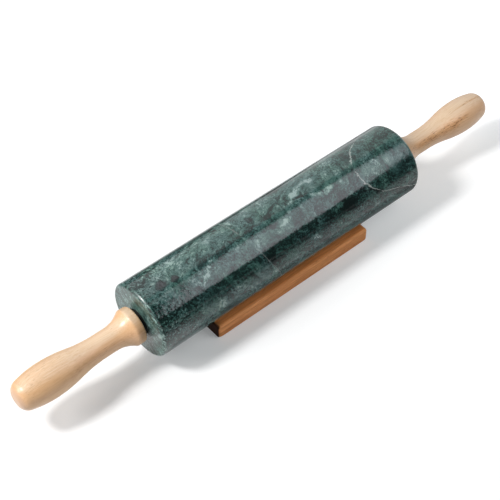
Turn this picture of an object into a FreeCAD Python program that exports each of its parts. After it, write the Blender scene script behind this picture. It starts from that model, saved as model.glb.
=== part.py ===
"""Marble rolling pin lying in its wooden cradle, in millimetres.

The pin lies along X above the cradle and Z is up. The origin is the centre of the cradle's underside.
The stone barrel turns on two nylon bushes round one steel axle. A turned wooden handle is screwed on each
end of the axle by a threaded insert, and a washer keeps the handle off the bush. The pieces at the two
ends are alike, so each is made once, at the right-hand end, and turned round for the left-hand end.
"""

import FreeCAD, Part
import math
import os

from FreeCAD import Vector

# Barrel: a bored cylinder of stone with softened rims.
BARREL_DIAMETER = 60.0
BARREL_LENGTH = 254.0
BARREL_RIM_ROUND = 2.6
BARREL_BORE_DIAMETER = 12.0

# Bushes: pressed into a counterbore at each end of the barrel, with a flange on the end face.
BUSH_DIAMETER = 16.0
BUSH_LENGTH = 20.0
BUSH_FLANGE_DIAMETER = 21.0
BUSH_FLANGE_THICKNESS = 1.5
BUSH_FLANGE_ROUND = 0.4

# Axle: one plain rod, threaded where the inserts hold it.
AXLE_DIAMETER = 8.0
AXLE_END_CHAMFER = 0.8
AXLE_REACH_IN_HANDLE = 26.0
AXLE_RUNNING_CLEARANCE = 0.05
AXLE_END_ROOM = 4.0
AXLE_HOLE_CLEARANCE = 0.3

# Washers: loose on the axle, against the handle. The end float lies between washer and bush.
WASHER_DIAMETER = 18.0
WASHER_THICKNESS = 1.2
WASHER_HOLE_CLEARANCE = 0.2
END_FLOAT = 0.3

# Threaded inserts: pressed into the handle's collar, flush with its face.
INSERT_DIAMETER = 12.0
INSERT_LENGTH = 18.0

# Handles: collar, flare, straight neck, long swell to the grip, and a blunt crowned end.
COLLAR_FACE_DIAMETER = 28.6
COLLAR_RIDGE_DIAMETER = 29.4
COLLAR_WIDTH = 6.6
COLLAR_RIDGE_ROUND = 3.4
COLLAR_FACE_ROUND = 1.4
FLARE_LENGTH = 15.4
NECK_DIAMETER = 18.4
NECK_LENGTH = 9.0
SWELL_LENGTH = 44.0
GRIP_DIAMETER = 27.8
GRIP_TAPER_LENGTH = 25.5
END_DIAMETER = 20.2
END_CROWN = 1.6
END_ROUND = 9.0

# Cradle: a wooden block with a round trough along it.
CRADLE_LENGTH = 152.0
CRADLE_WIDTH = 54.0
CRADLE_HEIGHT = 13.5
CRADLE_FLOOR_UNDER_BARREL = 7.0
CRADLE_TOP_ROUND = 1.8
CRADLE_LIP_ROUND = 1.4
CRADLE_END_ROUND = 0.8
CRADLE_FOOT_CHAMFER = 0.5
SEAT_CLEARANCE = 0.3

# Places that follow from the sizes above.
BARREL_RADIUS = BARREL_DIAMETER / 2
BARREL_END = BARREL_LENGTH / 2
TROUGH_RADIUS = BARREL_RADIUS + SEAT_CLEARANCE
AXIS_HEIGHT = CRADLE_FLOOR_UNDER_BARREL + TROUGH_RADIUS
WASHER_INNER_FACE = BARREL_END + BUSH_FLANGE_THICKNESS + END_FLOAT
HANDLE_FACE = WASHER_INNER_FACE + WASHER_THICKNESS
AXLE_END = HANDLE_FACE + AXLE_REACH_IN_HANDLE

X_AXIS = Vector(1, 0, 0)
Z_AXIS = Vector(0, 0, 1)
ORIGIN = Vector(0, 0, 0)
TOLERANCE = 1e-4


def rod(start, end, diameter):
    """A round rod on the pin's axis, from x = start to x = end."""
    return Part.makeCylinder(diameter / 2, end - start, Vector(start, 0, AXIS_HEIGHT), X_AXIS)


def other_end(shape):
    """The same piece turned half round to the left-hand end."""
    turned = shape.copy()
    turned.rotate(ORIGIN, Z_AXIS, 180)
    return turned


def ring_edges(shape, x, diameter):
    """The circular edges of a turned piece at place x and of this diameter."""
    circles = [edge for edge in shape.Edges if not edge.Degenerated and isinstance(edge.Curve, Part.Circle)]
    return [
        edge
        for edge in circles
        if abs(edge.Curve.Center.x - x) < TOLERANCE and abs(edge.Curve.Radius - diameter / 2) < TOLERANCE
    ]


def barrel():
    """The stone barrel: rounded rims, a through bore, and a counterbore for each bush."""
    stone = rod(-BARREL_END, BARREL_END, BARREL_DIAMETER)
    rims = ring_edges(stone, -BARREL_END, BARREL_DIAMETER) + ring_edges(stone, BARREL_END, BARREL_DIAMETER)
    stone = stone.makeFillet(BARREL_RIM_ROUND, rims)
    seat = rod(BARREL_END - BUSH_LENGTH, BARREL_END, BUSH_DIAMETER)
    bore = rod(-BARREL_END, BARREL_END, BARREL_BORE_DIAMETER)
    return stone.cut(bore).cut(seat).cut(other_end(seat))


def bush():
    """A flanged nylon bush, its flange against the barrel's end face."""
    flange_face = BARREL_END + BUSH_FLANGE_THICKNESS
    flange = rod(BARREL_END, flange_face, BUSH_FLANGE_DIAMETER)
    flange = flange.makeFillet(BUSH_FLANGE_ROUND, ring_edges(flange, flange_face, BUSH_FLANGE_DIAMETER))
    sleeve = rod(BARREL_END - BUSH_LENGTH, BARREL_END, BUSH_DIAMETER)
    hole = rod(BARREL_END - BUSH_LENGTH, flange_face, AXLE_DIAMETER + 2 * AXLE_RUNNING_CLEARANCE)
    return flange.fuse(sleeve).cut(hole)


def axle():
    """The steel axle, chamfered at both ends."""
    steel = rod(-AXLE_END, AXLE_END, AXLE_DIAMETER)
    ends = ring_edges(steel, -AXLE_END, AXLE_DIAMETER) + ring_edges(steel, AXLE_END, AXLE_DIAMETER)
    return steel.makeChamfer(AXLE_END_CHAMFER, ends)


def washer():
    """A flat washer on the axle, against the handle's face."""
    hole_diameter = AXLE_DIAMETER + 2 * WASHER_HOLE_CLEARANCE
    disc = rod(WASHER_INNER_FACE, HANDLE_FACE, WASHER_DIAMETER)
    return disc.cut(rod(WASHER_INNER_FACE, HANDLE_FACE, hole_diameter))


def insert():
    """A threaded insert in the handle's collar, with the axle's thread in its bore."""
    sleeve = rod(HANDLE_FACE, HANDLE_FACE + INSERT_LENGTH, INSERT_DIAMETER)
    return sleeve.cut(rod(HANDLE_FACE, HANDLE_FACE + INSERT_LENGTH, AXLE_DIAMETER))


def profile_point(x, radius):
    """A point of the handle's outline, x along the handle from its face and radius from its axis."""
    return Vector(HANDLE_FACE + x, 0, AXIS_HEIGHT + radius)


def arc_from_level(level_x, level_radius, end_x, end_radius):
    """An arc that starts parallel to the axis at the first point and ends at the second."""
    run = end_x - level_x
    rise = end_radius - level_radius
    arc_radius = (run * run + rise * rise) / (2 * rise)
    half_turn = math.atan(abs(rise / run))
    middle_x = level_x + math.copysign(arc_radius * math.sin(half_turn), run)
    middle_radius = level_radius + arc_radius * (1 - math.cos(half_turn))
    start = profile_point(level_x, level_radius)
    middle = profile_point(middle_x, middle_radius)
    return Part.Arc(start, middle, profile_point(end_x, end_radius)).toShape()


def handle():
    """A turned wooden handle, bored for its insert and for the axle's end."""
    face_radius = COLLAR_FACE_DIAMETER / 2
    ridge_radius = COLLAR_RIDGE_DIAMETER / 2
    neck_radius = NECK_DIAMETER / 2
    grip_radius = GRIP_DIAMETER / 2
    end_radius = END_DIAMETER / 2

    neck_start = COLLAR_WIDTH + FLARE_LENGTH
    neck_end = neck_start + NECK_LENGTH
    grip = neck_end + SWELL_LENGTH
    length = grip + GRIP_TAPER_LENGTH
    end_rim = length - END_CROWN
    swell_middle = (neck_end + grip) / 2
    swell_middle_radius = (neck_radius + grip_radius) / 2

    crown = Part.Arc(
        profile_point(end_rim, end_radius),
        profile_point(length - END_CROWN / 4, end_radius / 2),
        profile_point(length, 0),
    )
    outline = [
        Part.makeLine(profile_point(0, 0), profile_point(0, face_radius)),
        Part.makeLine(profile_point(0, face_radius), profile_point(COLLAR_WIDTH, ridge_radius)),
        arc_from_level(neck_start, neck_radius, COLLAR_WIDTH, ridge_radius),
        Part.makeLine(profile_point(neck_start, neck_radius), profile_point(neck_end, neck_radius)),
        arc_from_level(neck_end, neck_radius, swell_middle, swell_middle_radius),
        arc_from_level(grip, grip_radius, swell_middle, swell_middle_radius),
        arc_from_level(grip, grip_radius, end_rim, end_radius),
        crown.toShape(),
        Part.makeLine(profile_point(length, 0), profile_point(0, 0)),
    ]
    section = Part.Face(Part.Wire(Part.__sortEdges__(outline)))
    wood = section.revolve(Vector(0, 0, AXIS_HEIGHT), X_AXIS, 360)

    wood = wood.makeFillet(END_ROUND, ring_edges(wood, HANDLE_FACE + end_rim, END_DIAMETER))
    ridge = ring_edges(wood, HANDLE_FACE + COLLAR_WIDTH, COLLAR_RIDGE_DIAMETER)
    wood = wood.makeFillet(COLLAR_RIDGE_ROUND, ridge)
    wood = wood.makeFillet(COLLAR_FACE_ROUND, ring_edges(wood, HANDLE_FACE, COLLAR_FACE_DIAMETER))

    axle_hole = rod(HANDLE_FACE, AXLE_END + AXLE_END_ROOM, AXLE_DIAMETER + 2 * AXLE_HOLE_CLEARANCE)
    insert_seat = rod(HANDLE_FACE, HANDLE_FACE + INSERT_LENGTH, INSERT_DIAMETER)
    return wood.cut(axle_hole).cut(insert_seat)


def long_top_edges(shape, y):
    """The edges that run the whole length of the cradle at its top, at the distance y from its middle."""
    return [
        edge
        for edge in shape.Edges
        if edge.BoundBox.XLength > CRADLE_LENGTH - TOLERANCE
        and abs(edge.BoundBox.ZMax - CRADLE_HEIGHT) < TOLERANCE
        and abs(abs(edge.CenterOfMass.y) - y) < TOLERANCE
    ]


def cradle():
    """The wooden block with the round trough that the barrel lies in, its edges softened."""
    corner = Vector(-CRADLE_LENGTH / 2, -CRADLE_WIDTH / 2, 0)
    block = Part.makeBox(CRADLE_LENGTH, CRADLE_WIDTH, CRADLE_HEIGHT, corner)
    wood = block.cut(rod(-CRADLE_LENGTH, CRADLE_LENGTH, 2 * TROUGH_RADIUS))

    lip = math.sqrt(TROUGH_RADIUS**2 - (AXIS_HEIGHT - CRADLE_HEIGHT) ** 2)
    wood = wood.makeFillet(CRADLE_LIP_ROUND, long_top_edges(wood, lip))
    wood = wood.makeFillet(CRADLE_TOP_ROUND, long_top_edges(wood, CRADLE_WIDTH / 2))
    end_edges = [
        edge for edge in wood.Edges if edge.BoundBox.XLength < TOLERANCE and edge.BoundBox.ZMax > TOLERANCE
    ]
    wood = wood.makeFillet(CRADLE_END_ROUND, end_edges)
    foot_edges = [edge for edge in wood.Edges if edge.BoundBox.ZMax < TOLERANCE]
    return wood.makeChamfer(CRADLE_FOOT_CHAMFER, foot_edges)


def pieces():
    """Every piece by its name."""
    made = {"marble_barrel": barrel(), "axle_rod": axle(), "cradle": cradle()}
    for name, make in (("bush", bush), ("washer", washer), ("insert", insert), ("handle", handle)):
        right = make()
        made["right_" + name] = right
        made["left_" + name] = other_end(right)
    return made


def main():
    """Checks each piece and writes it to its own file."""
    os.makedirs("parts", exist_ok=True)
    for name, shape in pieces().items():
        solids = shape.Solids
        if len(solids) != 1 or not shape.isValid():
            raise ValueError(f"{name} isn't one valid solid")
        solids[0].exportStep(os.path.join("parts", name + ".step"))
        print(f"{name}: {solids[0].Volume / 1000:.2f} cm3")


main()
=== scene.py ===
"""Looks of a marble rolling pin lying in its wooden rest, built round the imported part.

The pin lies along X and Z is up. Sizes are in metres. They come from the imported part's own boxes, or are
named fields of the sub-assembly that they belong to. Finishes count places on a surface in millimetres.
"""

import logging
import math
from collections.abc import Sequence
from dataclasses import dataclass
from enum import Enum

import bpy
from mathutils import Matrix, Vector


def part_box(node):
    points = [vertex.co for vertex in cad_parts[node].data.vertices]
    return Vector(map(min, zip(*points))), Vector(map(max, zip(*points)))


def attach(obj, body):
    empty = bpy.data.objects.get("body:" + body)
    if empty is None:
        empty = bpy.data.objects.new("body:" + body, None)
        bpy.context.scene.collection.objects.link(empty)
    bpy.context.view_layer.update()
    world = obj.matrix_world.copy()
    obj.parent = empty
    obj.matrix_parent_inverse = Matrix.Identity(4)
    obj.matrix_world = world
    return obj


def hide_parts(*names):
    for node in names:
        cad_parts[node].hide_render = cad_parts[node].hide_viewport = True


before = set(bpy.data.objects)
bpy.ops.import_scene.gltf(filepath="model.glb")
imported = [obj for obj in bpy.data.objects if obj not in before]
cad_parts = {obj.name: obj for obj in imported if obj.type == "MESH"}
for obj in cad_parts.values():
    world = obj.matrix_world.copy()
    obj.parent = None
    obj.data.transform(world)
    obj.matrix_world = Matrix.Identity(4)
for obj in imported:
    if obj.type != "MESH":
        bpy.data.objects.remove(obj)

logging.basicConfig(level=logging.INFO, format="%(name)s: %(message)s")
LOG = logging.getLogger("rolling_pin")

MM = 0.001

Pair = tuple[float, float]
Triple = tuple[float, float, float]
Outline = Sequence[Pair | Vector]
Piece = bpy.types.Object
Material = bpy.types.Material
Tree = bpy.types.NodeTree
Node = bpy.types.Node
Socket = bpy.types.NodeSocket
Feed = Socket | float | Sequence[float]
Effects = dict[str, Tree]


class End(Enum):
    """The two ends of the pin, by the sign of X."""

    LEFT = -1
    RIGHT = 1

    @property
    def word(self) -> str:
        """The end's name in lower case."""
        return self.name.lower()


class Body(Enum):
    """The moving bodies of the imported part."""

    CRADLE = "cradle"
    SPINDLE = "spindle"
    BARREL = "barrel"


class Slot(Enum):
    """The record's material slots."""

    STONE = "green_marble"
    NYLON = "black_nylon"
    AXLE = "axle_steel"
    WASHER = "washer_steel"
    BRASS = "insert_brass"
    HANDLE = "handle_wood"
    CRADLE = "cradle_wood"


# Outlines of turned pieces are points (x, radius), with x along the axis.


def level_arc(level: Pair, end: Pair, count: int) -> list[Pair]:
    """Points of an arc that leaves one point parallel to the axis and ends at another.

    Args:
        level: where the arc is parallel to the axis.
        end: where the arc ends.
        count: how many steps the arc has.

    Returns:
        The points from level to end, both included.
    """
    run = end[0] - level[0]
    rise = end[1] - level[1]
    arc_radius = (run * run + rise * rise) / (2 * rise)
    turn = 2 * math.atan(abs(rise / run))
    points = []
    for index in range(count + 1):
        angle = turn * index / count
        along = math.copysign(arc_radius * math.sin(angle), run)
        points.append((level[0] + along, level[1] + arc_radius * (1 - math.cos(angle))))
    points[-1] = end
    return points


def corner_sides(before: Vector, corner: Vector, after: Vector) -> tuple[Vector, Vector, float]:
    """The two sides of a corner, seen from it.

    Args:
        before: a point on the side that comes in.
        corner: where the sides meet.
        after: a point on the side that goes out.

    Returns:
        The directions of both sides, and half the angle between them.
    """
    inward = (before - corner).normalized()
    outward = (after - corner).normalized()
    between = math.acos(max(-1.0, min(1.0, inward.dot(outward))))
    return inward, outward, between / 2


def round_corner(before: Vector, corner: Vector, after: Vector, radius: float, count: int) -> list[Vector]:
    """Points of the arc that rounds the corner between two straight edges.

    Args:
        before: a point on the edge that comes in.
        corner: where the edges meet.
        after: a point on the edge that goes out.
        radius: radius of the arc.
        count: how many steps the arc has.

    Returns:
        The points of the arc, with both ends.
    """
    inward, outward, half = corner_sides(before, corner, after)
    reach = radius / math.tan(half)
    centre = corner + (inward + outward).normalized() * (radius / math.sin(half))
    start = corner + inward * reach - centre
    end = corner + outward * reach - centre
    turn = math.pi - 2 * half
    points = []
    for index in range(count + 1):
        share = index / count
        weight_start = math.sin((1 - share) * turn) / math.sin(turn)
        weight_end = math.sin(share * turn) / math.sin(turn)
        points.append(centre + start * weight_start + end * weight_end)
    return points


def soften(outline: Outline, index: int, radius: float, count: int) -> list[Pair]:
    """The outline with one corner rounded, also where the sides of the corner are slightly bent.

    Args:
        outline: the points.
        index: which point is the corner.
        radius: radius of the rounding.
        count: how many steps the rounding has.

    Returns:
        The points with the corner replaced by a smooth bend.
    """
    points = [Vector(point) for point in outline]
    corner = points[index]
    half = corner_sides(points[index - 1], corner, points[index + 1])[2]
    reach = radius / math.tan(half)

    def cut(order: Sequence[int]) -> tuple[int, Vector]:
        """Follows one side of the corner as far as the rounding reaches.

        Args:
            order: the points of that side, from the corner outwards.

        Returns:
            The first point that stays, and the place where the rounding starts.
        """
        gone = 0.0
        last = corner
        for place in order:
            span = (points[place] - last).length
            if gone + span > reach:
                return place, last.lerp(points[place], (reach - gone) / span)
            gone += span
            last = points[place]
        return order[-1], last

    kept_before, start = cut(range(index - 1, -1, -1))
    kept_after, end = cut(range(index + 1, len(points)))
    weight = math.sin(half)
    bend = []
    for step in range(count + 1):
        share = step / count
        pull = 2 * weight * share * (1 - share)
        total = (1 - share) ** 2 + pull + share**2
        bend.append((start * (1 - share) ** 2 + corner * pull + end * share**2) / total)
    made = points[: kept_before + 1] + bend + points[kept_after:]
    return [(point[0], point[1]) for point in made]


class Workbench:
    """Makes meshes with the modelling operators, in the way that they are made by hand."""

    START_SIZE = 2 * MM
    MERGE_DISTANCE = 1e-6
    SMOOTH_ANGLE = math.radians(32)
    NORMAL_WEIGHT = 60

    @staticmethod
    def label(piece: Piece, name: str) -> None:
        """Names a piece and its mesh."""
        piece.name = name
        piece.data.name = name

    @classmethod
    def plane(cls, name: str, size: float) -> Piece:
        """Adds a square plane at the origin.

        Args:
            name: name of the new piece.
            size: length of its sides.

        Returns:
            The new piece, alone selected.
        """
        bpy.ops.object.select_all(action="DESELECT")
        bpy.ops.mesh.primitive_plane_add(size=size, location=(0, 0, 0))
        piece = bpy.context.active_object
        cls.label(piece, name)
        return piece

    @classmethod
    def start_point(cls, name: str, place: Vector) -> Piece:
        """Adds a small plane, merges it to one point at a place and stays in edit mode.

        Args:
            name: name of the new piece.
            place: where the point is.

        Returns:
            The new piece, in edit mode.
        """
        piece = cls.plane(name, cls.START_SIZE)
        bpy.ops.object.mode_set(mode="EDIT")
        bpy.ops.mesh.select_all(action="SELECT")
        bpy.ops.mesh.merge(type="CENTER")
        bpy.ops.transform.translate(value=place)
        return piece

    @staticmethod
    def draw(points: Sequence[Vector]) -> None:
        """Extrudes the selected point from place to place along an outline."""
        for last, place in zip(points, points[1:]):
            bpy.ops.mesh.extrude_vertices_move(TRANSFORM_OT_translate={"value": place - last})

    @classmethod
    def turn(cls, name: str, outline: Outline, axis_height: float, steps: int) -> Piece:
        """Turns an outline round the pin's axis, as on a lathe.

        Args:
            name: name of the new piece.
            outline: points (x, radius) that start and end at the axis, or that come back to the first.
            axis_height: height of the pin's axis.
            steps: how many steps make the whole turn.

        Returns:
            The turned piece, smooth and with its faces outwards.
        """
        places = [Vector((x, 0, axis_height + radius)) for x, radius in outline]
        piece = cls.start_point(name, places[0])
        cls.draw(places)
        bpy.ops.mesh.select_all(action="SELECT")
        bpy.ops.mesh.spin(steps=steps, angle=math.tau, center=(0, 0, axis_height), axis=(1, 0, 0))
        cls.close_mesh()
        cls.smooth(piece)
        return piece

    @classmethod
    def close_mesh(cls) -> None:
        """Merges doubles, turns all faces outwards and leaves edit mode."""
        bpy.ops.mesh.select_all(action="SELECT")
        bpy.ops.mesh.remove_doubles(threshold=cls.MERGE_DISTANCE)
        bpy.ops.mesh.normals_make_consistent(inside=False)
        bpy.ops.object.mode_set(mode="OBJECT")

    @staticmethod
    def select(piece: Piece) -> None:
        """Selects one piece alone and makes it the active one.

        Args:
            piece: the piece.
        """
        bpy.ops.object.select_all(action="DESELECT")
        piece.select_set(True)
        bpy.context.view_layer.objects.active = piece

    @classmethod
    def smooth(cls, piece: Piece) -> None:
        """Shades a piece smooth, with large faces kept flat beside their rounded edges.

        Args:
            piece: the piece.
        """
        cls.select(piece)
        bpy.ops.object.shade_smooth_by_angle(angle=cls.SMOOTH_ANGLE)
        bpy.ops.object.modifier_add(type="WEIGHTED_NORMAL")
        modifier = piece.modifiers[-1]
        modifier.weight = cls.NORMAL_WEIGHT
        modifier.keep_sharp = True
        bpy.ops.object.modifier_apply(modifier=modifier.name)

    @classmethod
    def turned_copy(cls, piece: Piece, name: str) -> Piece:
        """A copy of a piece with its own mesh, turned half round to the other end of the pin.

        Args:
            piece: the finished piece.
            name: name of the copy.

        Returns:
            The copy, with its place in its mesh.
        """
        cls.select(piece)
        bpy.ops.object.duplicate(linked=False)
        twin = bpy.context.active_object
        cls.label(twin, name)
        bpy.ops.transform.rotate(value=math.pi, orient_axis="Z", center_override=(0, 0, 0))
        bpy.ops.object.transform_apply(location=True, rotation=True, scale=True)
        return twin


class Desk:
    """Lays shader nodes in one tree and links them."""

    MIDDLE = 0.5
    SPREAD = (0.3, 0.7)
    SAME = (1.0, 1.0, 1.0)
    ORIGIN = (0.0, 0.0, 0.0)
    ACROSS = (0.0, 1.0, 1.0)
    # Which sockets of a Mix node hold the colours.
    MIX_BELOW = 6
    MIX_ABOVE = 7
    MIX_RESULT = 2

    def __init__(self, tree: Tree) -> None:
        """Keeps the tree that the nodes go into."""
        self.tree = tree

    @classmethod
    def cleared(cls, owner: Material | bpy.types.World) -> "Desk":
        """Takes the nodes out of a material or world.

        Args:
            owner: the material or world.

        Returns:
            A desk on its empty tree.
        """
        owner.use_nodes = True
        owner.node_tree.nodes.clear()
        return cls(owner.node_tree)

    def node(self, kind: str, **settings: object) -> Node:
        """Adds a node.

        Args:
            kind: the node's type.
            settings: its properties by name.

        Returns:
            The node.
        """
        made = self.tree.nodes.new(kind)
        for key, value in settings.items():
            setattr(made, key, value)
        return made

    def feed(self, socket: Socket, value: Feed) -> None:
        """Links a socket to another socket, or sets its own value.

        Args:
            socket: the input.
            value: an output to link, or the value to set, where a colour has no alpha.
        """
        if isinstance(value, Socket):
            self.tree.links.new(value, socket)
        elif socket.type == "RGBA":
            socket.default_value = (*value, 1.0)
        else:
            socket.default_value = value

    def math(self, operation: str, first: Feed, second: Feed | None = None) -> Socket:
        """A sum on one or two values.

        Args:
            operation: the Math node's operation.
            first: the first value.
            second: the second value, where the operation takes two.

        Returns:
            The result.
        """
        made = self.node("ShaderNodeMath", operation=operation)
        self.feed(made.inputs[0], first)
        if second is not None:
            self.feed(made.inputs[1], second)
        return made.outputs[0]

    def vector(self, operation: str, first: Feed, second: Feed | None = None) -> Socket:
        """A sum on one or two vectors, or on a vector and a scale.

        Args:
            operation: the Vector Math node's operation.
            first: the first vector.
            second: the second vector or the scale, where the operation takes one.

        Returns:
            The resulting vector, or the value of a length or a dot product.
        """
        made = self.node("ShaderNodeVectorMath", operation=operation)
        self.feed(made.inputs[0], first)
        if second is not None:
            self.feed(made.inputs["Scale" if operation == "SCALE" else 1], second)
        return made.outputs["Value" if operation in ("LENGTH", "DOT_PRODUCT") else "Vector"]

    def sides(self, source: Feed) -> dict[str, Socket]:
        """The three parts of a vector.

        Args:
            source: the vector.

        Returns:
            The parts by the names X, Y and Z.
        """
        made = self.node("ShaderNodeSeparateXYZ")
        self.feed(made.inputs[0], source)
        return {output.name: output for output in made.outputs}

    def from_axis(self, place: Feed) -> Socket:
        """How far a place is from the line along X through zero."""
        return self.vector("LENGTH", self.vector("MULTIPLY", place, self.ACROSS))

    def swing(self, noise: Socket, reach: Feed) -> Socket:
        """How far a noise is from its middle value, times a reach."""
        return self.math("MULTIPLY", self.math("SUBTRACT", noise, self.MIDDLE), reach)

    def bend(self, place: Feed, colour: Socket, reach: Feed) -> Socket:
        """A place moved by the colour of a noise, half the reach at most each way."""
        centred = self.vector("SUBTRACT", colour, (self.MIDDLE,) * 3)
        return self.vector("ADD", place, self.vector("SCALE", centred, reach))

    def mapping(
        self,
        source: Feed,
        scale: Feed = SAME,
        place: Feed = ORIGIN,
        turn: Feed = ORIGIN,
        local: bool = False,
    ) -> Socket:
        """A vector scaled, turned and moved.

        Args:
            source: the vector.
            scale: factors along X, Y and Z.
            place: how far it is moved, or where the local frame lies.
            turn: angles about X, Y and Z.
            local: whether the result is the vector as seen in a frame scaled, turned and moved so.

        Returns:
            The new vector.
        """
        made = self.node("ShaderNodeMapping", vector_type="TEXTURE" if local else "POINT")
        self.feed(made.inputs["Vector"], source)
        self.feed(made.inputs["Location"], place)
        self.feed(made.inputs["Rotation"], turn)
        self.feed(made.inputs["Scale"], scale)
        return made.outputs[0]

    def noise(
        self,
        source: Feed,
        scale: Feed = 1.0,
        detail: float = 3,
        rough: float = 0.5,
        twist: float = 0.0,
        colour: bool = False,
    ) -> Socket:
        """Noise over a vector.

        Args:
            source: the vector.
            scale: how fast the noise changes.
            detail: how many finer noises are added.
            rough: how strong the finer ones are.
            twist: how far the noise bends itself.
            colour: whether three noises are wanted, as a colour.

        Returns:
            The noise's value or colour.
        """
        made = self.node("ShaderNodeTexNoise")
        self.feed(made.inputs["Vector"], source)
        self.feed(made.inputs["Scale"], scale)
        made.inputs["Detail"].default_value = detail
        made.inputs["Roughness"].default_value = rough
        made.inputs["Distortion"].default_value = twist
        return made.outputs[1 if colour else 0]

    def step(
        self,
        value: Feed,
        low: Feed,
        high: Feed,
        to_low: float = 0.0,
        to_high: float = 1.0,
    ) -> Socket:
        """A smooth step of a value from one level to another.

        Args:
            value: the value.
            low: where the step starts.
            high: where the step ends, which may be the lower of the two.
            to_low: the level at the start.
            to_high: the level at the end.

        Returns:
            The level.
        """
        made = self.node("ShaderNodeMapRange", interpolation_type="SMOOTHSTEP")
        self.feed(made.inputs["Value"], value)
        self.feed(made.inputs["From Min"], low)
        self.feed(made.inputs["From Max"], high)
        made.inputs["To Min"].default_value = to_low
        made.inputs["To Max"].default_value = to_high
        return made.outputs[0]

    def mix(self, share: Feed, first: Feed, second: Feed, blend: str = "MIX") -> Socket:
        """A mix of two colours.

        Args:
            share: how much of the second colour.
            first: the colour below.
            second: the colour above.
            blend: the way of mixing.

        Returns:
            The mixed colour.
        """
        made = self.node("ShaderNodeMix", data_type="RGBA", blend_type=blend)
        self.feed(made.inputs[0], share)
        self.feed(made.inputs[self.MIX_BELOW], first)
        self.feed(made.inputs[self.MIX_ABOVE], second)
        return made.outputs[self.MIX_RESULT]

    def ramp(self, value: Feed, stops: Sequence[tuple[float, Triple]]) -> Socket:
        """A colour ramp through several stops.

        Args:
            value: the place on the ramp.
            stops: places on the ramp with their colours.

        Returns:
            The colour at the value.
        """
        made = self.node("ShaderNodeValToRGB")
        elements = made.color_ramp.elements
        while len(elements) < len(stops):
            elements.new(1.0)
        for element, (place, colour) in zip(elements, stops):
            element.position = place
            element.color = (*colour, 1.0)
        self.feed(made.inputs[0], value)
        return made.outputs[0]

    def group(self, tree: Tree, **values: Feed) -> Node:
        """Adds a node group.

        Args:
            tree: the shared group.
            values: what its inputs are linked to or set to, by name, as in line_scale.

        Returns:
            The group's node.
        """
        made = self.node("ShaderNodeGroup", node_tree=tree)
        for name, value in values.items():
            self.feed(made.inputs[name.replace("_", " ").title()], value)
        return made


class SharedEffect:
    """A node group that several materials, or several places in one, use."""

    FLOAT = "NodeSocketFloat"
    VECTOR = "NodeSocketVector"

    def __init__(
        self,
        name: str,
        vectors: Sequence[str],
        floats: Sequence[str],
        gives: Sequence[str],
    ) -> None:
        """Makes an empty group with its named sockets.

        Args:
            name: name of the group.
            vectors: names of the inputs that are vectors.
            floats: names of the inputs that are values.
            gives: names of the outputs, which are values.
        """
        self.tree = bpy.data.node_groups.new(name, "ShaderNodeTree")
        for label in vectors:
            self.tree.interface.new_socket(label, in_out="INPUT", socket_type=self.VECTOR)
        for label in floats:
            self.tree.interface.new_socket(label, in_out="INPUT", socket_type=self.FLOAT)
        for label in gives:
            self.tree.interface.new_socket(label, in_out="OUTPUT", socket_type=self.FLOAT)
        self.desk = Desk(self.tree)
        self.given = self.desk.node("NodeGroupInput").outputs
        self.wanted = self.desk.node("NodeGroupOutput").inputs


def vein_effect() -> Tree:
    """A thin crystal vein: a wavering plane through the stone, fading in and out along its run.

    Returns:
        The group, which takes a place in millimetres, the plane's facing and offset, the vein's width,
        how much it wavers, how often it breaks off, and how far it steps aside below a fold, and gives
        masks of its core, of the pale stone on both sides of it and of the dark stone along one side.
    """
    bend_scale, kink_scale, run_scale = 0.055, 0.42, 0.10
    kink_reach, fold_reach = 3.0, 5.0
    break_low, break_high = 0.06, 0.10
    thin, thick = 0.45, 1.35
    core_fade, halo_fade = (1.0, 0.2), (5.0, 0.5)
    side_far, side_near, side_breaks = (-7.0, -1.2), (0.3, -0.6), (0.28, 0.6)
    effect = SharedEffect(
        "stone_vein",
        ("Place", "Facing"),
        ("Offset", "Width", "Waver", "Breaks", "Fold", "Fold Height"),
        ("Core", "Halo", "Side"),
    )
    desk, given = effect.desk, effect.given
    place = given["Place"]
    sway = desk.swing(desk.noise(place, bend_scale, detail=4, rough=0.55), given["Waver"])
    kink = desk.noise(place, kink_scale, rough=0.6)
    sway = desk.math("ADD", sway, desk.swing(kink, kink_reach))
    along = desk.vector("DOT_PRODUCT", place, given["Facing"])
    above = desk.math("ADD", given["Fold Height"], fold_reach)
    below = desk.step(desk.sides(place)["Z"], above, desk.math("SUBTRACT", above, 2 * fold_reach))
    aside = desk.math("ADD", given["Offset"], desk.math("MULTIPLY", below, given["Fold"]))
    away = desk.math("ADD", desk.math("SUBTRACT", along, aside), sway)
    run = desk.noise(place, run_scale, detail=4, rough=0.65)
    gone = desk.math("SUBTRACT", given["Breaks"], break_low)
    there = desk.math("ADD", given["Breaks"], break_high)
    width = desk.math("MULTIPLY", given["Width"], desk.step(run, *desk.SPREAD, thin, thick))
    share = desk.math("DIVIDE", desk.math("ABSOLUTE", away), width)
    core = desk.math("MULTIPLY", desk.step(share, *core_fade), desk.step(run, gone, there))
    beside = desk.math("MULTIPLY", desk.step(away, *side_far), desk.step(away, *side_near))
    desk.feed(effect.wanted["Core"], core)
    desk.feed(effect.wanted["Halo"], desk.step(share, *halo_fade))
    desk.feed(effect.wanted["Side"], desk.math("MULTIPLY", beside, desk.step(kink, *side_breaks)))
    return effect.tree


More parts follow.
